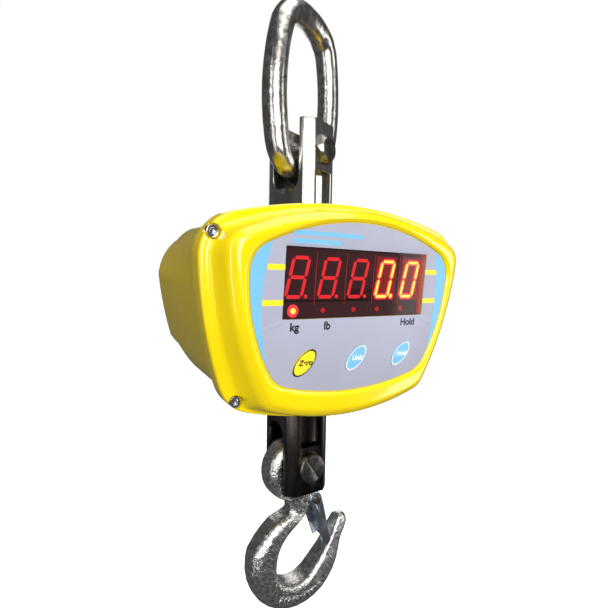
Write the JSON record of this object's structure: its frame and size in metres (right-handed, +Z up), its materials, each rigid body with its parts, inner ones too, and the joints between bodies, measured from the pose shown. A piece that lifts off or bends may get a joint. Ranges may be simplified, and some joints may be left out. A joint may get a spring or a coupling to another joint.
{
  "type": "crane scale",
  "caption": "Hanging crane scale: oval lifting ring, steel clevis column, yellow display housing with LED readout and keys, and a swivel eye hook with safety latch.",
  "frame": {"origin": "where the crane hook bears on the inside of the lifting ring's top, on the column's axis", "axes": "+Z up along the load line, -Y towards the display side, +X to the right of someone reading the display"},
  "size_m": [0.2477, 0.1633, 0.569],
  "materials": {
    "plated_steel": "bright zinc plate",
    "plated_block": "bright plated, machined",
    "plated_forging": "rough forging, bright plated",
    "zinc_bolt": "zinc plated",
    "screw_chrome": "polished",
    "latch_sheet": "zinc plated sheet",
    "alloy_cell": "machined",
    "dark_steel": "black oxide",
    "bronze": "turned",
    "yellow_paint": "gloss powder coat",
    "black_rubber": "matt",
    "overlay_grey": "printed film",
    "window_red": "dark red filter",
    "led_red": "lit segments",
    "board_green": "circuit board",
    "white_plastic": "moulded",
    "black_plastic": "moulded",
    "battery_wrap": "shrink sleeve",
    "lead_black": "cable sheath",
    "lead_red": "cable sheath",
    "key_yellow": "printed film",
    "key_blue": "printed film"
  },
  "bodies": {
    "ring": {"lifting_ring": "plated_steel"},
    "upper_clevis": {"upper_clevis": "plated_block", "ring_bolt": "zinc_bolt", "ring_nut": "zinc_bolt"},
    "housing": {"load_cell": "alloy_cell", "gauge_covers": "alloy_cell", "upper_stud": "dark_steel", "lower_stud": "dark_steel", "upper_swivel_nut": "zinc_bolt", "lower_swivel_nut": "zinc_bolt", "thrust_washers": "bronze", "cell_bracket": "zinc_bolt", "bracket_screws": "zinc_bolt", "front_shell": "yellow_paint", "rear_shell": "yellow_paint", "housing_gasket": "black_rubber", "shell_screws": "screw_chrome", "upper_seal": "black_rubber", "lower_seal": "black_rubber", "overlay": "overlay_grey", "display_window": "window_red", "digit_modules": "led_red", "indicator_leds": "led_red", "display_board": "board_green", "board_spacers": "white_plastic", "main_board": "board_green", "board_screws": "zinc_bolt", "board_link": "black_plastic", "key_switches": "black_plastic", "buzzer": "black_plastic", "battery": "battery_wrap", "battery_door": "yellow_paint", "door_screws": "screw_chrome", "charge_socket": "black_plastic", "cell_lead": "lead_black", "battery_lead": "lead_red"},
    "key_zero": {"key_zero": "key_yellow"},
    "key_units": {"key_units": "key_blue"},
    "key_hold": {"key_hold": "key_blue"},
    "socket_cap": {"socket_cap": "black_rubber"},
    "lower_clevis": {"lower_clevis": "plated_block", "hook_pin": "zinc_bolt", "snap_ring": "zinc_bolt"},
    "hook": {"hook": "plated_forging", "latch_pin": "zinc_bolt"},
    "latch": {"latch": "latch_sheet", "latch_spring": "zinc_bolt"}
  },
  "joints": [
    {"name": "ring_swing", "type": "hinge", "parent": "ring", "child": "upper_clevis", "pos_m": [0, 0, -0.11346], "axis": [-0.3746, 0.9272, 0], "range_deg": [-42, 42]},
    {"name": "upper_swivel", "type": "hinge", "parent": "upper_clevis", "child": "housing", "pos_m": [0, 0, -0.11346], "axis": [0, 0, 1], "continuous": true},
    {"name": "lower_swivel", "type": "hinge", "parent": "housing", "child": "lower_clevis", "pos_m": [0, 0, -0.40146], "axis": [0, 0, 1], "continuous": true},
    {"name": "hook_swing", "type": "hinge", "parent": "lower_clevis", "child": "hook", "pos_m": [0, 0, -0.40146], "axis": [0, 1, 0], "range_deg": [-60, 60]},
    {"name": "latch_hinge", "type": "hinge", "parent": "hook", "child": "latch", "pos_m": [0.0175, 0, -0.44246], "axis": [0, 1, 0], "range_deg": [0, 28], "stiffness_Nm_per_rad": 0.02, "springref_deg": -68.75},
    {"name": "key_zero_press", "type": "slide", "parent": "housing", "child": "key_zero", "axis": [0, 0.9962, 0.0872], "range_m": [0, 0.0005], "stiffness_N_per_m": 2000, "springref_m": -0.0005},
    {"name": "key_units_press", "type": "slide", "parent": "housing", "child": "key_units", "axis": [0, 0.9962, 0.0872], "range_m": [0, 0.0005], "stiffness_N_per_m": 2000, "springref_m": -0.0005},
    {"name": "key_hold_press", "type": "slide", "parent": "housing", "child": "key_hold", "axis": [0, 0.9962, 0.0872], "range_m": [0, 0.0005], "stiffness_N_per_m": 2000, "springref_m": -0.0005},
    {"name": "socket_cap_hinge", "type": "hinge", "parent": "housing", "child": "socket_cap", "pos_m": [0.088, 0.06204, -0.20091], "axis": [1, 0, 0], "range_deg": [0, 110]}
  ]
}
